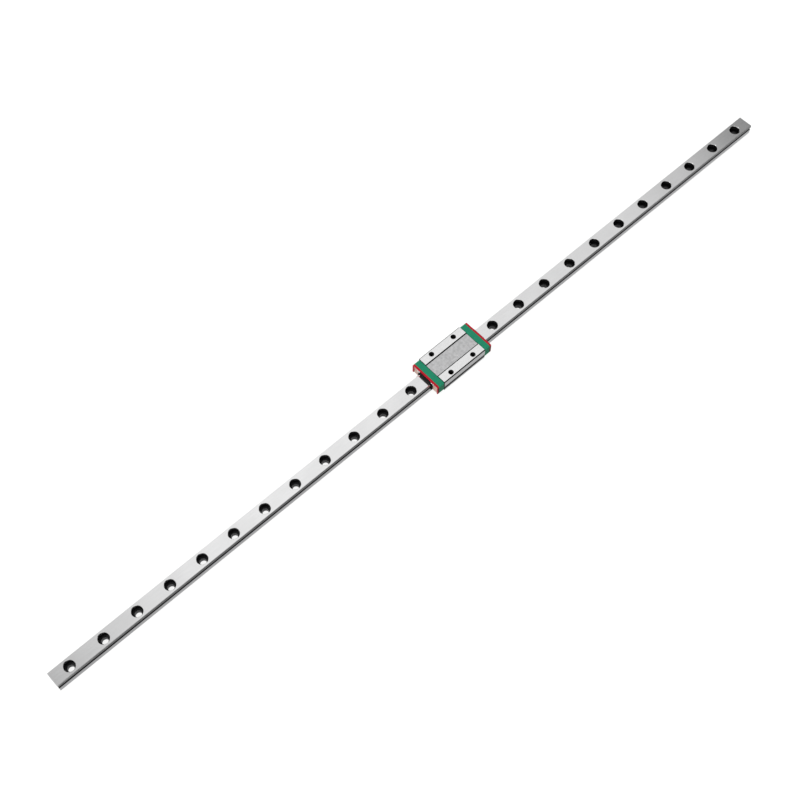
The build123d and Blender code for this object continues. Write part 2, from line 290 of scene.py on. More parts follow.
RAIL_TOP = steel("rail_ground_top", (0.815, 0.815, 0.818), 0.1, (90, 2600, 2600), contrast=0.04)
# Painted shade: the rail's lower sides and bottom use a darker copy of the top's ground steel.
RAIL_SIDE_SHADED = steel("rail_ground_side_painted_shade", (0.31, 0.31, 0.315), 0.30, (60, 3000, 3000), contrast=0.1)
# Painted shade: the strip of the rail's side above the race is darkened to near black.
RAIL_UPPER_SHADE = steel("rail_upper_side_painted_shade", (0.045, 0.045, 0.046), 0.34, (60, 3000, 3000), contrast=0.12)
# Painted shade: the races and the relief groove between them are coloured nearly black.
RACE_SHADE = steel("rail_race_painted_shade", (0.006, 0.006, 0.0063), 0.25, (40, 5000, 5000), contrast=0.2)
RAIL_END = steel("rail_sawn_end", (0.40, 0.40, 0.405), 0.38, (900, 900, 5200), contrast=0.14)
# Painted highlight: the rail's chamfers are brighter steel, standing in for the light line along its edges.
RAIL_EDGE_HIGHLIGHT = steel("rail_edge_painted_highlight", (0.85, 0.85, 0.85), 0.2, (60, 2000, 2000), contrast=0.02)
# Rough drilled steel, with its near-black colour painted shade inside the holes.
BORE_SHADE_MAT = steel("drilled_bore_painted_shade", (0.035, 0.035, 0.037), 0.45, (600, 600, 6000), contrast=0.3)
LAND = steel(
    "block_ground_land", (0.87, 0.87, 0.872), 0.2, (900, 4200, 900), contrast=0.03, patch=0.06, cloud=700
)
STRIP = steel(
    "block_satin_strip", (0.66, 0.66, 0.665), 0.36, (3400, 300, 3000), contrast=0.12, patch=0.2, cloud=700
)
# Painted shade: the block's sides and bottom use a darker copy of the lands' ground steel.
BLOCK_SIDE_SHADED = steel("block_ground_side_painted_shade", (0.34, 0.34, 0.345), 0.34, (120, 3600, 3600), contrast=0.08)
# Painted shade: near black on the block's chamfers, waist and land grooves, standing in for the shade lines
# there.
BLOCK_EDGE_SHADE = steel("block_edge_painted_shade", (0.008, 0.008, 0.0085), 0.4, (120, 3600, 3600), contrast=0.2)
BALL = steel("ball_polished", (0.86, 0.86, 0.87), 0.08, (1200, 1200, 1200), contrast=0.02, depth=0.000001)
WIRE = steel("spring_wire", (0.6, 0.6, 0.61), 0.25, (300, 6000, 6000), contrast=0.1)
SCREW = steel("screw_plated", (0.82, 0.82, 0.83), 0.2, (2500, 2500, 2500), contrast=0.05)
# Painted shade: the cross recess in each screw's head is coloured nearly black.
SCREW_RECESS_SHADE = steel("screw_recess_painted_shade", (0.03, 0.03, 0.03), 0.5, (2500, 2500, 2500), contrast=0.3)
GREEN = plastic("green_moulding", (0.014, 0.29, 0.155), 0.5, gloss=0.2)
# Painted shade: a darker copy of the green for the caps' sides.
GREEN_SHADED_SIDE = plastic("green_moulding_side_painted_shade", (0.02, 0.15, 0.082), 0.6, gloss=0.04)
# Painted shade: near black on the rounded edges of the caps and seal plates, for the shade line where the
# parts meet.
SEAM_SHADE = plastic("seam_painted_shade", (0.006, 0.008, 0.006), 0.7, gloss=0.05)
RED = plastic("red_moulding", (0.56, 0.004, 0.022), 0.4, contrast=0.05, gloss=0.2)
# Painted shade: a darker copy of the red for the seal plates' sides.
RED_SHADED_SIDE = plastic("red_moulding_side_painted_shade", (0.10, 0.005, 0.005), 0.6, contrast=0.05, gloss=0.04)
# Painted sheen: a pale copy of the red for the plates' recessed face, standing in for light glancing off it.
RED_PAINTED_SHEEN = plastic("red_moulding_painted_sheen", (0.62, 0.42, 0.35), 0.45, contrast=0.06)
RUBBER = plastic("black_rubber", (0.004, 0.0025, 0.0025), 0.7, grain=6000, contrast=0.25, gloss=0.1)
GUIDE = plastic("guide_moulding", (0.03, 0.03, 0.03), 0.5)


# ------------------------------------------------------------------ mesh helpers
# Faces that fold by more than this, in degrees, meet in a sharp edge.
FOLD = 32.0

def finish_mesh(name, bm, materials, sharp=FOLD):
    """Turns a bmesh in millimetres into an object, with smooth shading and sharp edges where it folds."""
    bmesh.ops.recalc_face_normals(bm, faces=bm.faces)
    for vertex in bm.verts:
        vertex.co = vertex.co * MM
    mesh = bpy.data.meshes.new(name)
    for face in bm.faces:
        face.smooth = True
    bm.to_mesh(mesh)
    bm.free()
    for material in materials:
        mesh.materials.append(material)
    mesh.set_sharp_from_angle(angle=math.radians(sharp))
    obj = bpy.data.objects.new(name, mesh)
    bpy.context.scene.collection.objects.link(obj)
    return obj


def settle(obj):
    """Applies every modifier of an object to its mesh."""
    graph = bpy.context.evaluated_depsgraph_get()
    mesh = bpy.data.meshes.new_from_object(obj.evaluated_get(graph))
    mesh.name = obj.name
    obj.modifiers.clear()
    obj.data = mesh


def bevel(obj, width, segments=2, angle=34.0):
    modifier = obj.modifiers.new("edges", "BEVEL")
    modifier.width = width * MM
    modifier.segments = segments
    modifier.limit_method = "ANGLE"
    modifier.angle_limit = math.radians(angle)
    modifier.harden_normals = False
    modifier.use_clamp_overlap = True


def cut(obj, cutter):
    """Takes one object out of another and removes it."""
    modifier = obj.modifiers.new("cut", "BOOLEAN")
    modifier.operation = "DIFFERENCE"
    modifier.solver = "EXACT"
    modifier.object = cutter
    settle(obj)
    bpy.data.objects.remove(cutter)


def paint(obj, choose, materials):
    """Gives each face of a finished mesh the material that choose(centre in mm, normal) names."""
    mesh = obj.data
    mesh.materials.clear()
    for material in materials:
        mesh.materials.append(material)
    for polygon in mesh.polygons:
        picked = choose(polygon.center / MM, polygon.normal)
        polygon.material_index = materials.index(picked)


def reshade(obj, sharp=FOLD):
    """Smooth shading that keeps large flat faces flat next to their rounded edges."""
    mesh = obj.data
    for polygon in mesh.polygons:
        polygon.use_smooth = True
    mesh.set_sharp_from_angle(angle=math.radians(sharp))
    modifier = obj.modifiers.new("flats", "WEIGHTED_NORMAL")
    modifier.mode = "FACE_AREA"
    modifier.weight = 100
    modifier.keep_sharp = True
    settle(obj)


def round_cutter(circles, segments=48):
    """One object of closed cylinders. A circle is (start, direction, radius, length), in millimetres."""
    bm = bmesh.new()
    for start, direction, radius, length in circles:
        turn = Vector(direction).to_track_quat("Z", "Y").to_matrix().to_4x4()
        place = Matrix.Translation(Vector(start) + Vector(direction) * length / 2) @ turn
        sizes = {"radius1": radius, "radius2": radius, "depth": length}
        bmesh.ops.create_cone(bm, cap_ends=True, segments=segments, matrix=place, **sizes)
    return finish_mesh("cutter", bm, [])


def mirrored(half):
    """The closed outline of a half outline, given from one end on the middle plane to the other."""
    return list(half) + [(-y, z) for y, z in reversed(half) if y]


def round_ring(bm, spot, steps):
    """A ring of vertices round a full turn. spot gives a vertex's place from its angle."""
    return [bm.verts.new(spot(2 * math.pi * s / steps)) for s in range(steps)]


def skin(bm, rings, closed=False):
    """Faces from each ring of vertices to the next, and from the last to the first where closed."""
    pairs = list(zip(rings, rings[1:]))
    if closed:
        pairs.append((rings[-1], rings[0]))
    for lower, upper in pairs:
        for i in range(len(lower)):
            j = (i + 1) % len(lower)
            bm.faces.new((lower[i], lower[j], upper[j], upper[i]))

def inset_outline(outline, amount):
    """An outline moved inwards by amount, for the small chamfer at a long piece's ends."""
    count = len(outline)
    moved = []
    for i in range(count):
        a, b, c = Vector(outline[i - 1]), Vector(outline[i]), Vector(outline[(i + 1) % count])
        first, second = (b - a).normalized(), (c - b).normalized()
        inward_a, inward_b = Vector((-first.y, first.x)), Vector((-second.y, second.x))
        inward = (inward_a + inward_b).normalized()
        moved.append(b + inward * amount / max(0.5, inward.dot(inward_a)))
    return [(p.x, p.y) for p in moved]


def prism(name, outline, start, end, materials, edge=0.0):
    """An outline in (y, z) carried along x from start to end, with its ends chamfered by edge."""
    sections = [(start, outline), (end, outline)]
    if edge:
        small = inset_outline(outline, edge)
        sections = [(start, small), (start + edge, outline), (end - edge, outline), (end, small)]
    bm = bmesh.new()
    rings = [[bm.verts.new((x, y, z)) for y, z in section] for x, section in sections]
    skin(bm, rings)
    bm.faces.new(rings[0])
    bm.faces.new(rings[-1])
    return finish_mesh(name, bm, materials)


def race_y(height, outwards):
    """Where a race's wall is, at a height from the ball row's middle, on the block's or the rail's side."""
    reach = math.sqrt(RACE_R**2 - (abs(height) + RACE_OFFSET) ** 2) - RACE_OFFSET
    return TRACK_Y + outwards * reach


def race_mouth(wall):
    """Half the height of a race's opening in a wall at that y."""
    depth = abs(wall - TRACK_Y)
    return math.sqrt(RACE_R**2 - (depth + RACE_OFFSET) ** 2) - RACE_OFFSET


def even(first, last, steps):
    """Evenly spaced numbers from first to last, both included."""
    return [first + (last - first) * i / steps for i in range(steps + 1)]


# ------------------------------------------------------------------ rail
RAIL_MATERIALS = [RAIL_TOP, RAIL_SIDE_SHADED, RACE_SHADE, RAIL_END, BORE_SHADE_MAT, RAIL_EDGE_HIGHLIGHT, RAIL_UPPER_SHADE]
FLAT_Y = RAIL_HALF_WIDTH - RAIL_TOP_EDGE

# Each hole has a tile of the rail's top round it, and these are the angles of the tile's border points.
TILE_CORNER = math.atan2(FLAT_Y, PITCH / 2)
ACROSS_ANGLES = even(-TILE_CORNER, TILE_CORNER, 10)[:-1]
ALONG_ANGLES = even(TILE_CORNER, math.pi - TILE_CORNER, 28)[:-1]


def rail_side():
    """The rail's section on one side, from the bottom flat's edge up to the top flat's edge."""
    half = RAIL_HALF_WIDTH
    mouth = race_mouth(half)
    points = [(FLAT_Y, 0), (half - EDGE, 0), (half, EDGE)]
    points += [(race_y(h, -1), TRACK_Z + h) for h in even(-mouth, -RELIEF_HALF, 8)]
    points += [(RELIEF_Y, TRACK_Z - RELIEF_HALF), (RELIEF_Y, TRACK_Z + RELIEF_HALF)]
    points += [(race_y(h, -1), TRACK_Z + h) for h in even(RELIEF_HALF, mouth, 8)]
    points += [(half, RAIL_HEIGHT - RAIL_TOP_EDGE), (FLAT_Y, RAIL_HEIGHT)]
    return points


def side_material(height):
    # The top chamfer gets the bright steel as a painted highlight.
    if height > RAIL_HEIGHT - RAIL_TOP_EDGE:
        return RAIL_EDGE_HIGHLIGHT
    # The race groove is painted nearly black as shade.
    if abs(height - TRACK_Z) < race_mouth(RAIL_HALF_WIDTH):
        return RACE_SHADE
    # Painted shade: the strip above the race gets the near-black copy of the steel, the strip below it the
    # darker side copy.
    return RAIL_UPPER_SHADE if height > TRACK_Z else RAIL_SIDE_SHADED


def across_y(angle):
    """How far across the rail a tile's end border is at an angle."""
    return FLAT_Y * math.tan(angle) / math.tan(TILE_CORNER)


def tile_border(middle, low_x, high_x):
    """The angles round a hole, and the point of its tile's border at each."""
    angles, border = [], []
    for turn, end_x, sign in ((0, high_x, 1), (math.pi, low_x, -1)):
        angles += [a + turn for a in ACROSS_ANGLES + ALONG_ANGLES]
        border += [(end_x, sign * across_y(a)) for a in ACROSS_ANGLES]
        border.append((end_x, sign * FLAT_Y))
        border += [(middle + sign * FLAT_Y / math.tan(a), sign * FLAT_Y) for a in ALONG_ANGLES[1:]]
    return angles, border


def make_rail():
    rail_end = RAIL_HALF_LENGTH - RAIL_END_EDGE
    bm = bmesh.new()
    known = {}

    def vertex(x, y, z):
        key = (round(x, 5), round(y, 5), round(z, 5))
        if key not in known:
            known[key] = bm.verts.new((x, y, z))
        return known[key]

    def face(corners, material):
        bm.faces.new(corners).material_index = RAIL_MATERIALS.index(material)

    def band(lower, upper, material):
        for i in range(len(lower)):
            j = (i + 1) % len(lower)
            face([lower[i], lower[j], upper[j], upper[i]], material)

    stations = set()
    for hole in range(HOLES):
        middle = (hole - (HOLES - 1) / 2) * PITCH
        low_x = max(middle - PITCH / 2, -rail_end)
        high_x = min(middle + PITCH / 2, rail_end)
        angles, border = tile_border(middle, low_x, high_x)
        stations.update(round(x, 5) for x, y in border if abs(y) > FLAT_Y - 1e-6)
        stations.update((round(low_x, 5), round(high_x, 5)))

        def circle(radius, z):
            return [vertex(middle + radius * math.cos(a), radius * math.sin(a), z) for a in angles]

        top = [vertex(x, y, RAIL_HEIGHT) for x, y in border]
        base = [vertex(x, y, 0) for x, y in border]
        rim = circle(BORE_R + HOLE_EDGE, RAIL_HEIGHT)
        wall = circle(BORE_R, RAIL_HEIGHT - HOLE_EDGE)
        seat = circle(BORE_R, BORE_FLOOR)
        throat = circle(BOLT_R + HOLE_EDGE, BORE_FLOOR)
        neck = circle(BOLT_R, BORE_FLOOR - HOLE_EDGE)
        mouth = circle(BOLT_R, 0)
        band(top, rim, RAIL_TOP)
        # The counterbore's chamfer gets the painted highlight of the rail's edges.
        band(rim, wall, RAIL_EDGE_HIGHLIGHT)
        # The counterbores and bolt holes are painted dark as shade.
        for lower, upper in zip((wall, seat, throat, neck), (seat, throat, neck, mouth)):
            band(lower, upper, BORE_SHADE_MAT)
        # The rail's bottom round each hole takes the darker side steel, which is painted shade.
        band(mouth, base, RAIL_SIDE_SHADED)
    stations = sorted(stations)
    side = rail_side()
    for sign in (1, -1):
        rows = [[vertex(x, sign * y, z) for x in stations] for y, z in side]
        for k in range(len(rows) - 1):
            material = side_material((side[k][1] + side[k + 1][1]) / 2)
            for i in range(len(stations) - 1):
                face((rows[k][i], rows[k][i + 1], rows[k + 1][i + 1], rows[k + 1][i]), material)
    across = [across_y(a) for a in ACROSS_ANGLES[1:]]
    outline = side + [(y, RAIL_HEIGHT) for y in reversed(across)]
    outline += [(-y, z) for y, z in reversed(side)] + [(y, 0.0) for y in across]
    inner = inset_outline(outline, RAIL_END_INSET)
    for sign in (-1, 1):
        full = [vertex(sign * rail_end, y, z) for y, z in outline]
        small = [vertex(sign * RAIL_HALF_LENGTH, y, z) for y, z in inner]
        # The chamfer round each end gets the painted highlight too.
        band(full, small, RAIL_EDGE_HIGHLIGHT)
        face(small, RAIL_END)
    return finish_mesh("rail_body", bm, RAIL_MATERIALS, sharp=15)


# ------------------------------------------------------------------ carriage block
def make_block():
    half = BLOCK_HALF_WIDTH
    mouth = race_mouth(WALL_Y)
    outline = [(0, CEILING), (WALL_Y - CORNER, CEILING), (WALL_Y, CEILING - CORNER)]
    outline += [(race_y(h, 1), TRACK_Z + h) for h in even(mouth, -mouth, 20)]
    outline += [
        (WALL_Y, BLOCK_BOTTOM + CORNER),
        (WALL_Y + CORNER, BLOCK_BOTTOM),
        (half - FOOT_EDGE, BLOCK_BOTTOM),
        (half, BLOCK_BOTTOM + FOOT_EDGE),
        (half, WAIST_BOTTOM - WAIST_DEPTH),
        (half - WAIST_DEPTH, WAIST_BOTTOM),
        (half - WAIST_DEPTH, WAIST_TOP),
        (half, WAIST_TOP + WAIST_DEPTH),
        (half, BLOCK_TOP - TOP_EDGE),
        (half - TOP_EDGE, BLOCK_TOP),
        (LAND_Y, BLOCK_TOP),
        (LAND_Y, BLOCK_TOP - GROOVE_DEPTH),
        (LAND_Y - GROOVE_WIDTH, BLOCK_TOP - GROOVE_DEPTH),
        (LAND_Y - GROOVE_WIDTH, BLOCK_TOP - LAND_STEP),
        (0, BLOCK_TOP - LAND_STEP),
    ]
    block = prism("block_body", mirrored(outline), BLOCK_FRONT, BLOCK_REAR, [], END_EDGE)
    mounts = [(CARRIAGE_X + end * MOUNT_X, side * MOUNT_Y) for end in (-1, 1) for side in (-1, 1)]
    circles = []
    for x, y in mounts:
        circles.append(((x, y, BLOCK_TOP + OVER), (0, 0, -1), MOUNT_R + THREAD_WALL, MOUNT_DEPTH + OVER))
    for side in (-1, 1):
        tunnel = (BLOCK_FRONT - OVER, side * RETURN_Y, TRACK_Z)
        circles.append((tunnel, (1, 0, 0), TUNNEL_R, BLOCK_LENGTH + 2 * OVER))
        for end in (-1, 1):
            screw = (CARRIAGE_X + end * (FACE_X + OVER), side * SCREW_Y, SCREW_Z)
            circles.append((screw, (-end, 0, 0), SCREW_R + FIT, SCREW_HOLE_DEPTH + OVER))
    cut(block, round_cutter(circles, 64))
    bevel(block, SOFT_EDGE)
    settle(block)
    near, thin = 0.05, 0.01
    waist_z = (WAIST_TOP + WAIST_BOTTOM) / 2
    waist_half = (WAIST_TOP - WAIST_BOTTOM) / 2 + WAIST_DEPTH - 2 * thin

    def choose(centre, normal):
        outside = abs(centre.y)
        off_hole = min(math.hypot(centre.x - x, centre.y - y) for x, y in mounts)
        # The tapped holes take the bore's painted shade.
        if off_hole < MOUNT_R + THREAD_WALL + thin / 2 and centre.z > BLOCK_TOP - MOUNT_DEPTH - 2 * near:
            return BORE_SHADE_MAT
        # Painted shade on the end chamfers, for the shade line at the joints with the caps.
        if 0.3 < abs(normal.x) < 0.95:  # the chamfers at the block's two ends
            return BLOCK_EDGE_SHADE
        if centre.z > BLOCK_TOP - thin and outside > LAND_Y:
            return LAND
        # Painted shade along the top chamfers.
        if outside > half - TOP_EDGE - near and centre.z > BLOCK_TOP - TOP_EDGE - near:
            return BLOCK_EDGE_SHADE
        # Painted shade in the waist groove.
        if outside > half - WAIST_DEPTH - near and abs(centre.z - waist_z) < waist_half:
            return BLOCK_EDGE_SHADE
        # Painted shade in the grooves beside the centre strip.
        in_groove = LAND_Y - GROOVE_WIDTH - thin < outside < LAND_Y + thin
        if in_groove and centre.z > BLOCK_TOP - GROOVE_DEPTH - near:
            return BLOCK_EDGE_SHADE
        if outside < LAND_Y and centre.z > BLOCK_TOP - LAND_STEP - near:
            return STRIP
        # The block's inner race and tunnel faces take the race's painted shade.
        if outside < WALL_Y + RACE_R and centre.z < CEILING + near and abs(normal.x) < 0.5:
            return RACE_SHADE
        # Everything else on the block takes the darker, painted shade copy of its steel.
        return BLOCK_SIDE_SHADED

    paint(block, choose, [LAND, STRIP, BLOCK_SIDE_SHADED, BLOCK_EDGE_SHADE, BORE_SHADE_MAT, RACE_SHADE])
    reshade(block)
    return block


def make_thread(name, x, y):
    """The M3 thread inside a tapped hole: a closed sleeve whose inner wall is the thread's helix."""
    top = BLOCK_TOP - THREAD_TOP
    bottom = top - THREAD_TURNS * THREAD_PITCH
    bm = bmesh.new()

    def ring(z, radius_at):
        def spot(angle):
            radius = radius_at(angle)
            return (x + radius * math.cos(angle), y + radius * math.sin(angle), z)

        return round_ring(bm, spot, 40)

    def helix(z):
        def radius_at(angle):
            phase = (z / THREAD_PITCH - angle / (2 * math.pi)) % 1.0
            return MOUNT_R + THREAD_DEPTH * abs(phase - 0.5) * 2

        return radius_at

    rings = [ring(z, helix(z)) for z in even(bottom, top, THREAD_TURNS * 8)]
    outer = MOUNT_R + THREAD_WALL - THREAD_SKIN
    rings += [ring(z, lambda angle: outer) for z in (top, bottom)]
    skin(bm, rings, closed=True)
    # The thread takes the bore's painted shade.
    return finish_mesh(name, bm, [BORE_SHADE_MAT], sharp=60)


# ------------------------------------------------------------------ end caps, seals, wipers
def cap_half():
    """The outer outline of a cap and a seal plate, from the top middle to the bottom corner."""
    half = CAP_HALF_WIDTH
    return [
        (0, CAP_TOP),
        (half - CAP_ROUND, CAP_TOP),
        (half, CAP_TOP - CAP_ROUND),
        (half, CAP_BOTTOM + CAP_CUT),
        (half - CAP_CUT, CAP_BOTTOM),
    ]


def cap_inner():
    return [
        (WALL_Y, CAP_BOTTOM),
        (WALL_Y, TRACK_Z - SCOOP_BASE_HALF),
        (SCOOP_Y, TRACK_Z - SCOOP_HALF),
        (SCOOP_Y, TRACK_Z + SCOOP_HALF),
        (WALL_Y, TRACK_Z + SCOOP_BASE_HALF),
        (WALL_Y, CAP_CEILING - CORNER),
        (WALL_Y - CORNER, CAP_CEILING),
        (0, CAP_CEILING),
    ]


def is_edge(normal):
    """Whether a face is part of the rounded edge round a cap's or a seal plate's end."""
    return 0.2 < abs(normal.x) < 0.98


def is_side(centre):
    return abs(centre.y) > CAP_HALF_WIDTH - 0.02


def make_cap(end, name):
    start = CARRIAGE_X + end * FACE_X
    stop = start + end * CAP_LENGTH
    cap = prism(f"{name}_body", mirrored(cap_half() + cap_inner()), start, stop, [GREEN])
    circles = []
    for side in (-1, 1):
        screw = (start - end * OVER, side * SCREW_Y, SCREW_Z)
        circles.append((screw, (end, 0, 0), SCREW_CLEAR_R, CAP_LENGTH + 2 * OVER))
        pin = (stop + end * OVER, side * PIN_Y, PIN_Z)
        circles.append((pin, (-end, 0, 0), PIN_R, PIN_DEPTH + OVER))
    cut(cap, round_cutter(circles))
    bevel(cap, CAP_EDGE, 3)
    settle(cap)

    def choose(centre, normal):
        # The rounded edges are painted dark as the shade line at the joints.
        if is_edge(normal):
            return SEAM_SHADE
        # The caps' sides take the darker green as painted shade.
        return GREEN_SHADED_SIDE if is_side(centre) else GREEN

    paint(cap, choose, [GREEN, GREEN_SHADED_SIDE, SEAM_SHADE])
    reshade(cap)
    return cap


def window_half():
    return [
        (WINDOW_Y, CAP_BOTTOM),
        (WINDOW_Y, WINDOW_Z),
        (SHOULDER_Y, NECK_Z),
        (NECK_Y, NECK_Z),
        (NECK_Y, WINDOW_TOP),
        (0, WINDOW_TOP),
    ]


def make_plate(end, name):
    start = CARRIAGE_X + end * (FACE_X + CAP_LENGTH)
    stop = start + end * PLATE_LENGTH
    plate = prism(f"{name}_body", mirrored(cap_half() + window_half()), start, stop, [RED])
    reach = POCKET_REACH
    pocket = [
        (NECK_Y - reach, CAP_TOP - PLATE_RIM - reach),
        (NECK_Y, CAP_TOP - PLATE_RIM - reach),
        (NECK_Y, CAP_TOP - PLATE_RIM),
        (CAP_HALF_WIDTH - PLATE_RIM, CAP_TOP - PLATE_RIM),
        (CAP_HALF_WIDTH - PLATE_RIM, CAP_BOTTOM - reach),
        (WINDOW_Y - reach, CAP_BOTTOM - reach),
        (WINDOW_Y - reach, WINDOW_Z - reach / 2),
        (SHOULDER_Y - reach / 2, NECK_Z - reach),
        (NECK_Y - reach, NECK_Z - reach),
    ]
    web = start + end * PLATE_WEB
    for side in (1, -1):
        outline = [(side * y, z) for y, z in pocket]
        cut(plate, prism("cutter", outline, web, stop + end * OVER, []))
    circles = []
    for side in (-1, 1):
        for y, z, radius in ((SCREW_Y, SCREW_Z, SCREW_CLEAR_R), (PIN_Y, PIN_Z, PIN_R)):
            hole = (start - end * OVER, side * y, z)
            circles.append((hole, (end, 0, 0), radius, PLATE_CUT))
    cut(plate, round_cutter(circles))
    bevel(plate, PLATE_EDGE, 3)
    settle(plate)

    def choose(centre, normal):
        # The edge next to the cap is painted dark as the shade line at the joint.
        if abs(centre.x - start) < PLATE_EDGE * 1.5 and is_edge(normal):
            return SEAM_SHADE
        # The recessed face takes the pale red as a painted sheen.
        if abs(centre.x - web) < 0.02 and abs(normal.x) > 0.9:
            return RED_PAINTED_SHEEN
        # The plates' sides take the darker red as painted shade.
        return RED_SHADED_SIDE if is_side(centre) else RED

    paint(plate, choose, [RED, RED_PAINTED_SHEEN, RED_SHADED_SIDE, SEAM_SHADE])
    reshade(plate)
    return plate


def make_wiper(end, name):
    start = CARRIAGE_X + end * (FACE_X + CAP_LENGTH)
    stop = start + end * WIPER_LENGTH
    half = RAIL_HALF_WIDTH + LIP_GAP
    lip = [
        (0, RAIL_HEIGHT + LIP_GAP),
        (half - RAIL_TOP_EDGE, RAIL_HEIGHT + LIP_GAP),
        (half, RAIL_HEIGHT + LIP_GAP - RAIL_TOP_EDGE),
        (half, TRACK_Z + SCOOP_BASE_HALF),
        (RIDGE_Y, TRACK_Z + SCOOP_HALF),
        (RIDGE_Y, TRACK_Z - SCOOP_HALF),
        (half, TRACK_Z - SCOOP_BASE_HALF),
        (half, CAP_BOTTOM),
    ]
    window = [(y - WINDOW_GAP if y else y, z - WINDOW_GAP if z > CAP_BOTTOM else z) for y, z in window_half()]
    wiper = prism(f"{name}_body", mirrored(lip + window), start, stop, [RUBBER])
    bevel(wiper, SOFT_EDGE)
    settle(wiper)
    reshade(wiper)
    return wiper


# ------------------------------------------------------------------ screws
def lathe(name, profile, centre, direction, materials, steps=48):
    """A profile of (distance along direction, radius) turned round it, which starts and ends on the axis."""
    turn = Vector(direction).to_track_quat("Z", "Y").to_matrix()
    bm = bmesh.new()

    def point(along, radius=0.0, angle=0.0):
        return Vector(centre) + turn @ Vector((radius * math.cos(angle), radius * math.sin(angle), along))

    def ring(along, radius):
        return round_ring(bm, lambda angle: point(along, radius, angle), steps)

    tip = bm.verts.new(point(profile[0][0]))
    rings = [ring(along, radius) for along, radius in profile[1:-1]]
    crown = bm.verts.new(point(profile[-1][0]))
    for s in range(steps):
        bm.faces.new((tip, rings[0][s], rings[0][(s + 1) % steps]))
    skin(bm, rings)
    for s in range(steps):
        bm.faces.new((rings[-1][s], rings[-1][(s + 1) % steps], crown))
    return finish_mesh(name, bm, materials)


def recess_cutter(seat, end, side):
    """A cross that narrows towards its bottom, for the recess in a screw's head."""
    arm, slot = RECESS_ARM, RECESS_SLOT
    quarter = [(arm, -slot), (arm, slot), (slot, slot)]
    cross = []
    for _ in range(4):
        cross += quarter
        quarter = [(-z, y) for y, z in quarter]
    bm = bmesh.new()
    rings = []
    for out, scale in ((HEAD_HEIGHT - RECESS_DEPTH, 0.7), (HEAD_HEIGHT + 0.3, 1.1)):
        points = [(seat + end * out, side * SCREW_Y + y * scale, SCREW_Z + z * scale) for y, z in cross]
        rings.append([bm.verts.new(point) for point in points])
    skin(bm, rings)
    bm.faces.new(rings[0])
    bm.faces.new(rings[1])
    return finish_mesh("cutter", bm, [])


def screw_profile():
    """A screw from its tip to its head's crown, with its thread as rings. 0 is the face under the head."""
    profile = [(-SCREW_LENGTH, 0), (-SCREW_LENGTH, SCREW_R - SCREW_TIP), (-SCREW_LENGTH + SCREW_TIP, SCREW_R)]
    for k in range(SCREW_THREADS):
        at = -SCREW_LENGTH + 2 * SCREW_TIP + k * SCREW_PITCH
        valley = (at + SCREW_PITCH * 0.5, SCREW_R - SCREW_THREAD_DEPTH)
        profile += [(at, SCREW_R), valley, (at + SCREW_PITCH * 0.95, SCREW_R)]
    profile += [(0, SCREW_R), (0, HEAD_R - HEAD_EDGE), (HEAD_EDGE, HEAD_R)]
    for a in even(0, math.pi / 2, 8):
        height = HEAD_HEIGHT - SCREW_CROWN + SCREW_CROWN * math.sin(a)
        profile.append((height, HEAD_R - SCREW_CROWN + SCREW_CROWN * math.cos(a)))
    return profile + [(HEAD_HEIGHT, 0)]


def make_screw(end, side, name):
    seat = CARRIAGE_X + end * (FACE_X + CAP_LENGTH + PLATE_WEB)
    centre = (seat, side * SCREW_Y, SCREW_Z)
    screw = lathe(f"{name}_body", screw_profile(), centre, (end, 0, 0), [SCREW, SCREW_RECESS_SHADE])
    cut(screw, recess_cutter(seat, end, side))

    def choose(point, normal):
        height = (point.x - seat) * end
        off = math.hypot(point.y - side * SCREW_Y, point.z - SCREW_Z)
        in_recess = 0.1 < height < HEAD_HEIGHT - 0.01 and off < SCREW_R
        # The recess is painted dark as shade.
        return SCREW_RECESS_SHADE if in_recess else SCREW

    paint(screw, choose, [SCREW, SCREW_RECESS_SHADE])
    reshade(screw, 28)
    return screw


# ------------------------------------------------------------------ balls and wires
def loop_point(travel):
    """Where a ball is, from the carriage's middle, after that travel round its loop."""
    straight = BLOCK_LENGTH
    radius, middle = (RETURN_Y - TRACK_Y) / 2, (RETURN_Y + TRACK_Y) / 2
    turn = math.pi * radius
    if travel < straight:
        return travel - straight / 2, TRACK_Y
    travel -= straight
    if travel < turn:
        angle = travel / radius
        return straight / 2 + radius * math.sin(angle), middle - radius * math.cos(angle)
    travel -= turn
    if travel < straight:
        return straight / 2 - travel, RETURN_Y
    angle = (travel - straight) / radius
    return -straight / 2 - radius * math.sin(angle), middle + radius * math.cos(angle)


def make_balls(side, name):
    loop = 2 * BLOCK_LENGTH + math.pi * (RETURN_Y - TRACK_Y)
    bm = bmesh.new()
    for ball in range(BALLS):
        x, y = loop_point(ball * loop / BALLS)
        place = Matrix.Translation((CARRIAGE_X + x, side * y, TRACK_Z))
        bmesh.ops.create_icosphere(bm, subdivisions=3, radius=BALL_R, matrix=place)
    return finish_mesh(f"{name}_body", bm, [BALL], sharp=60)


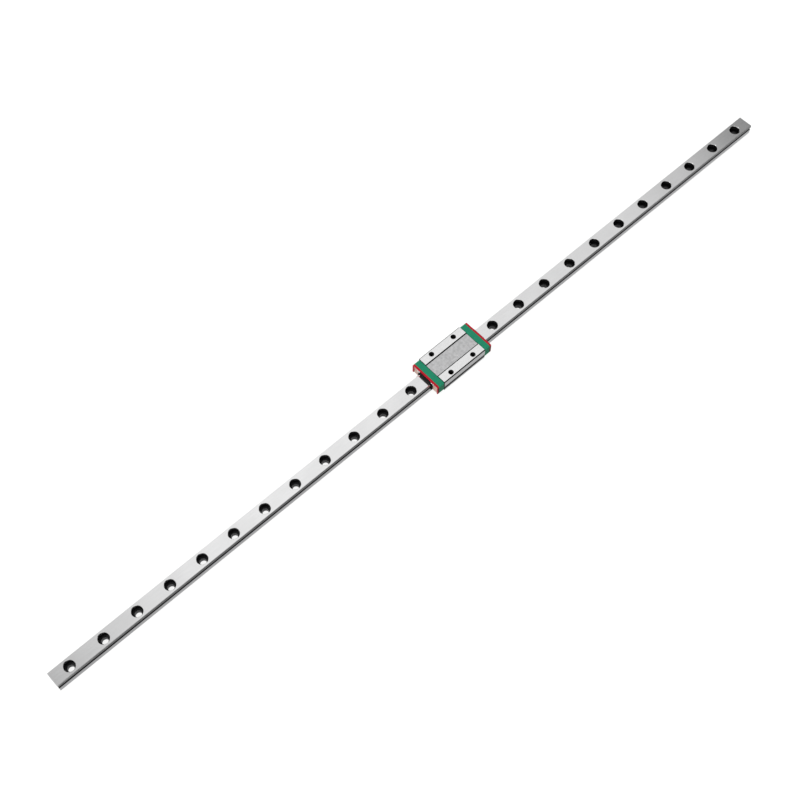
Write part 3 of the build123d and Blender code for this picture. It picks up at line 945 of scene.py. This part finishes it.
def make_wire(side, name):
    """A spring wire along one race, with each end bent outwards into its cap."""
    bend = WIRE_BEND_R
    points = [(-WIRE_BEND_X, WIRE_END_Y)]
    for a in even(math.pi, 1.5 * math.pi, 8):
        points.append((-WIRE_BEND_X + bend + bend * math.cos(a), WIRE_Y + bend + bend * math.sin(a)))
    points += [(-x, y) for x, y in reversed(points)]
    bm = bmesh.new()

    def ring(at):
        x, y = points[at]
        before, after = points[max(0, at - 1)], points[min(len(points) - 1, at + 1)]
        along = (Vector(after) - Vector(before)).normalized()
        out = Vector((-along.y, along.x)) * WIRE_R

        def spot(angle):
            shift = out * math.cos(angle)
            return (CARRIAGE_X + x + shift.x, side * (y + shift.y), TRACK_Z + WIRE_R * math.sin(angle))

        return round_ring(bm, spot, 16)

    rings = [ring(at) for at in range(len(points))]
    skin(bm, rings)
    bm.faces.new(rings[0])
    bm.faces.new(rings[-1])
    return finish_mesh(f"{name}_body", bm, [WIRE])


# ------------------------------------------------------------------ assembly
def place(piece, body, node=None, slot=None):
    """Rides a piece on its body, in place of the CAD node it stands for."""
    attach(piece, body)
    if node:
        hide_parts(node)


place(make_rail(), "rail", "rail", "rail_steel")
place(make_block(), "carriage", "carriage_block", "block_steel")
for end_name, end in ENDS.items():
    for side_name, side in SIDES.items():
        thread = make_thread(
            f"tapped_thread_{end_name}_{side_name}", CARRIAGE_X + end * MOUNT_X, side * MOUNT_Y
        )
        place(thread, "carriage", slot="block_steel")
        screw_name = f"cap_screw_{end_name}_{side_name}"
        place(make_screw(end, side, screw_name), "carriage", screw_name, "screw_steel")
        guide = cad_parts[f"return_guide_{end_name}_{side_name}"]
        guide.data.materials.clear()
        guide.data.materials.append(GUIDE)
    place(make_cap(end, f"end_cap_{end_name}"), "carriage", f"end_cap_{end_name}", "green_plastic")
    place(make_plate(end, f"seal_plate_{end_name}"), "carriage", f"seal_plate_{end_name}", "red_plastic")
    place(make_wiper(end, f"wiper_{end_name}"), "carriage", f"wiper_{end_name}", "black_rubber")
for side_name, side in SIDES.items():
    place(make_balls(side, f"ball_train_{side_name}"), "carriage", f"ball_train_{side_name}", "ball_steel")
    wire_name = f"retainer_wire_{side_name}"
    place(make_wire(side, wire_name), "carriage", wire_name, "wire_steel")


# ------------------------------------------------------------------ floor, light, camera
FLOOR_R = 12000
FLOOR_Z = -0.02

# The dome's brightness by the direction's part along the rail, across it and upwards, as (part, brightness).
DOME_ALONG = [(-1.0, 0.75), (-0.15, 0.6), (0.0, 0.5), (0.06, 0.75), (0.13, 0.95), (0.22, 1.02), (0.33, 0.95)]
DOME_ALONG += [(0.43, 0.88), (0.51, 0.84), (0.56, 0.7), (0.605, 0.3), (0.64, 0.2), (0.72, 0.35)]
DOME_ALONG += [(0.8, 0.7), (1.0, 0.75)]
DOME_ACROSS = [(-1.0, 0.12), (-0.72, 0.2), (-0.44, 1.0), (1.0, 1.0)]
DOME_UP = [(0.0, 0.5), (0.25, 0.55), (0.6, 1.0), (1.0, 1.0)]

# How much of the dome shows over the pale wall, by the direction's part upwards.
WALL_FADE = [(0.0, 0.0), (0.14, 0.0), (0.3, 1.0), (1.0, 1.0)]

CAMERA_AZIMUTH = math.radians(-42.38)
CAMERA_ELEVATION = math.radians(60.73)
CAMERA_ROLL = math.radians(-0.33)
CAMERA_DISTANCE = 0.7141
CAMERA_TARGET = Vector((-0.0256, 0.0021, 0.0))
CAMERA_SLIDE = 0.00026
CAMERA_SENSOR = 36.0
CAMERA_LENS = 60.78


def make_floor():
    """A pale floor that gives light of its own, so that it shows as nearly white."""
    bm = bmesh.new()
    bmesh.ops.create_circle(bm, cap_ends=True, segments=96, radius=FLOOR_R)
    for vertex in bm.verts:
        vertex.co.z = FLOOR_Z
    mat, _, shader = new_material("studio_floor")
    shader.inputs["Base Color"].default_value = (0.3, 0.3, 0.3, 1)
    shader.inputs["Roughness"].default_value = 0.9
    shader.inputs["Specular IOR Level"].default_value = 0.0
    shader.inputs["Emission Color"].default_value = (1, 1, 1, 1)
    shader.inputs["Emission Strength"].default_value = 0.88
    finish_mesh("studio_floor", bm, [mat])


def by_direction(tree, source, stops, lowest=-1.0):
    """A grey that follows one part of the direction, from its lowest value up to 1."""
    place = add(tree, "ShaderNodeMapRange")
    place.inputs["From Min"].default_value = lowest
    place.inputs["From Max"].default_value = 1.0
    tree.links.new(source, place.inputs["Value"])
    stops = [((part - lowest) / (1.0 - lowest), value) for part, value in stops]
    return grey_ramp(tree, place.outputs["Result"], stops)


def make_world():
    """A soft studio dome over a pale wall all round, dimmer in places so that the steel shows its shape."""
    world = bpy.data.worlds.new("studio")
    bpy.context.scene.world = world
    world.use_nodes = True
    tree = world.node_tree
    background = tree.nodes["Background"]
    where = add(tree, "ShaderNodeTexCoord")
    split = add(tree, "ShaderNodeSeparateXYZ")
    tree.links.new(where.outputs["Generated"], split.inputs["Vector"])
    along = by_direction(tree, split.outputs["X"], DOME_ALONG)
    up = by_direction(tree, split.outputs["Z"], DOME_UP, lowest=0.0)
    across = by_direction(tree, split.outputs["Y"], DOME_ACROSS)
    dome = mixed(tree, mixed(tree, along, up, "MULTIPLY"), across, "MULTIPLY")
    shown = add(tree, "ShaderNodeMix", data_type="RGBA", blend_type="MIX")
    shown.inputs["A"].default_value = (1.0, 1.0, 1.0, 1.0)
    tree.links.new(dome, shown.inputs["B"])
    fade = by_direction(tree, split.outputs["Z"], WALL_FADE, lowest=0.0)
    tree.links.new(fade, shown.inputs["Factor"])
    tree.links.new(shown.outputs["Result"], background.inputs["Color"])
    background.inputs["Strength"].default_value = 1.0


def make_light(name, at, size, power):
    """A square area light aimed at the origin, with its place and size in metres and its power in watts."""
    data = bpy.data.lights.new(name, "AREA")
    data.shape = "SQUARE"
    data.size = size
    data.energy = power
    light = bpy.data.objects.new(name, data)
    light.location = at
    light.rotation_euler = (-Vector(at)).to_track_quat("-Z", "Y").to_euler()
    bpy.context.scene.collection.objects.link(light)


def make_camera():
    """The camera, which looks at its target from an azimuth and elevation, with a small roll and slide."""
    level = math.cos(CAMERA_ELEVATION)
    back_x, back_y = math.sin(CAMERA_AZIMUTH) * level, -math.cos(CAMERA_AZIMUTH) * level
    back = Vector((back_x, back_y, math.sin(CAMERA_ELEVATION)))
    right = Vector((math.cos(CAMERA_AZIMUTH), math.sin(CAMERA_AZIMUTH), 0.0))
    up = back.cross(right)
    turned_right = right * math.cos(CAMERA_ROLL) + up * math.sin(CAMERA_ROLL)
    turned_up = up * math.cos(CAMERA_ROLL) - right * math.sin(CAMERA_ROLL)
    data = bpy.data.cameras.new("camera")
    data.sensor_width = CAMERA_SENSOR
    data.lens = CAMERA_LENS
    data.clip_start = 0.01
    camera = bpy.data.objects.new("camera", data)
    basis = Matrix((turned_right, turned_up, back)).transposed().to_4x4()
    stand = CAMERA_TARGET + back * CAMERA_DISTANCE + (turned_up - turned_right) * CAMERA_SLIDE
    camera.matrix_world = Matrix.Translation(stand) @ basis
    bpy.context.scene.collection.objects.link(camera)
    bpy.context.scene.camera = camera


make_floor()
make_world()
make_light("key", (-0.9, 0.5, 1.3), size=0.9, power=7.0)
make_light("fill", (-0.7, -1.1, 0.9), size=1.2, power=3.5)
make_camera()
bpy.context.scene.view_settings.view_transform = "Standard"
